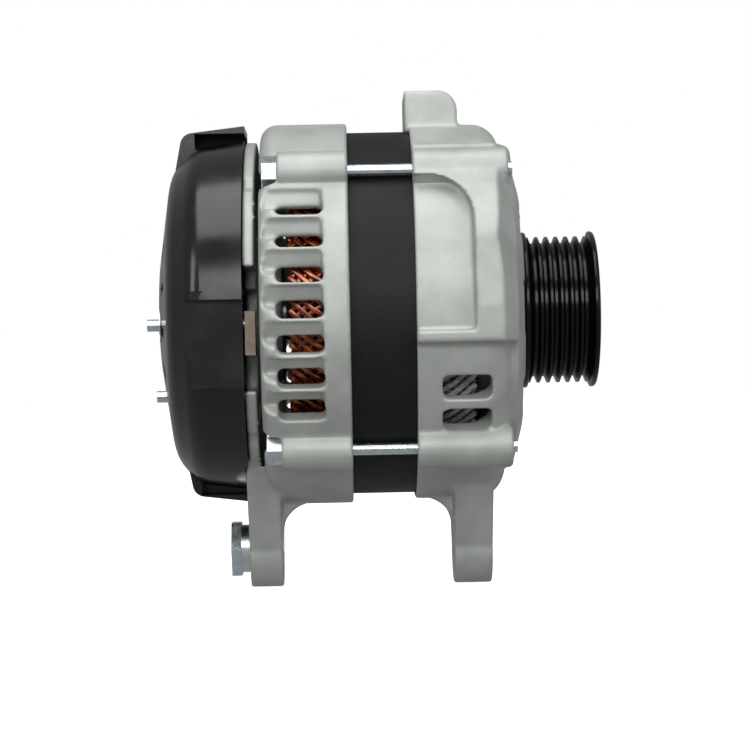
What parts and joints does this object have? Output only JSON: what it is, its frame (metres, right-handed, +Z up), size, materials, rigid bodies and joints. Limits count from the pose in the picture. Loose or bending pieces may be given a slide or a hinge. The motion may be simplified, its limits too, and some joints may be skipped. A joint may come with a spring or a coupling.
{
  "type": "car alternator",
  "caption": "Car alternator: drum between cast brackets with vents and lower ears, belt pulley on one end, domed plastic cover on the other.",
  "frame": {"origin": "middle of the pivot bore in the front bracket's lower ear", "axes": "+X along the pivot bore and the rotor axis, towards the pulley; +Z up, from the pivot to the rotor"},
  "size_m": [0.1605, 0.1406, 0.1774],
  "materials": {
    "cast_aluminium": "as-cast, matte",
    "lacquered_laminations": "satin black lacquer",
    "enamelled_copper": "enamelled and varnished copper",
    "zinc_steel": "bright zinc plate",
    "bearing_steel": "ground steel",
    "seal_rubber": "moulded rubber",
    "black_plastic": "glossy moulded",
    "pole_iron": "bare pressed iron",
    "slip_copper": "turned copper",
    "black_enamel": "gloss black coat",
    "plate_aluminium": "rolled sheet",
    "brown_resin": "moulded resin",
    "diode_metal": "nickel plate",
    "brush_carbon": "pressed copper and carbon"
  },
  "bodies": {
    "housing": {"battery_insulator": "black_plastic", "battery_nut": "zinc_steel", "battery_stud": "zinc_steel", "bearing_retainer": "bearing_steel", "brush_holder": "black_plastic", "cover_nuts": "zinc_steel", "cover_studs": "zinc_steel", "front_bearing_outer_ring": "bearing_steel", "front_bearing_seals": "seal_rubber", "front_bracket": "cast_aluminium", "front_brush_spring": "bearing_steel", "mount_bush": "zinc_steel", "negative_diodes": "diode_metal", "negative_plate": "plate_aluminium", "positive_diodes": "diode_metal", "positive_plate": "plate_aluminium", "rear_bearing_outer_ring": "bearing_steel", "rear_bearing_seals": "seal_rubber", "rear_bearing_sleeve": "black_plastic", "rear_bracket": "cast_aluminium", "rear_brush_spring": "bearing_steel", "rear_cover": "black_plastic", "retainer_screws": "zinc_steel", "slip_ring_shield": "black_plastic", "stator_core": "lacquered_laminations", "stator_lead_block": "brown_resin", "stator_winding": "enamelled_copper", "terminal_board": "brown_resin", "through_bolts": "zinc_steel", "voltage_regulator": "black_plastic"},
    "rotor": {"rotor_shaft": "bearing_steel", "rear_pole": "pole_iron", "front_pole": "pole_iron", "coil_bobbin": "black_plastic", "field_coil": "enamelled_copper", "rear_fan": "pole_iron", "front_fan": "pole_iron", "spacer_collar": "bearing_steel", "slip_rings": "slip_copper", "ring_insulator": "black_plastic", "pulley": "black_enamel", "pulley_nut": "zinc_steel", "front_bearing_inner_ring": "bearing_steel", "rear_bearing_inner_ring": "bearing_steel"},
    "front_ball_set": {"front_balls_set": "bearing_steel", "front_ball_cage": "bearing_steel"},
    "rear_ball_set": {"rear_balls_set": "bearing_steel", "rear_ball_cage": "bearing_steel"},
    "rear_brush_body": {"rear_brush": "brush_carbon"},
    "front_brush_body": {"front_brush": "brush_carbon"}
  },
  "joints": [
    {"name": "rotor_spin", "type": "hinge", "parent": "housing", "child": "rotor", "pos_m": [-0.0315, 0, 0.0845], "axis": [1, 0, 0], "continuous": true},
    {"name": "front_balls_spin", "type": "hinge", "parent": "housing", "child": "front_ball_set", "pos_m": [0.009, 0, 0.0845], "axis": [1, 0, 0], "continuous": true},
    {"name": "rear_balls_spin", "type": "hinge", "parent": "housing", "child": "rear_ball_set", "pos_m": [-0.073, 0, 0.0845], "axis": [1, 0, 0], "continuous": true},
    {"name": "rear_brush_slide", "type": "slide", "parent": "housing", "child": "rear_brush_body", "axis": [0, 0, 1], "range_m": [0, 0.004], "stiffness_N_per_m": 250, "springref_m": -0.008, "deforming": ["rear_brush_spring"]},
    {"name": "front_brush_slide", "type": "slide", "parent": "housing", "child": "front_brush_body", "axis": [0, 0, 1], "range_m": [0, 0.004], "stiffness_N_per_m": 250, "springref_m": -0.008, "deforming": ["front_brush_spring"]}
  ],
  "couplings": [
    {"joint": "front_balls_spin", "follows": "rotor_spin", "ratio": 0.375},
    {"joint": "rear_balls_spin", "follows": "rotor_spin", "ratio": 0.38}
  ]
}
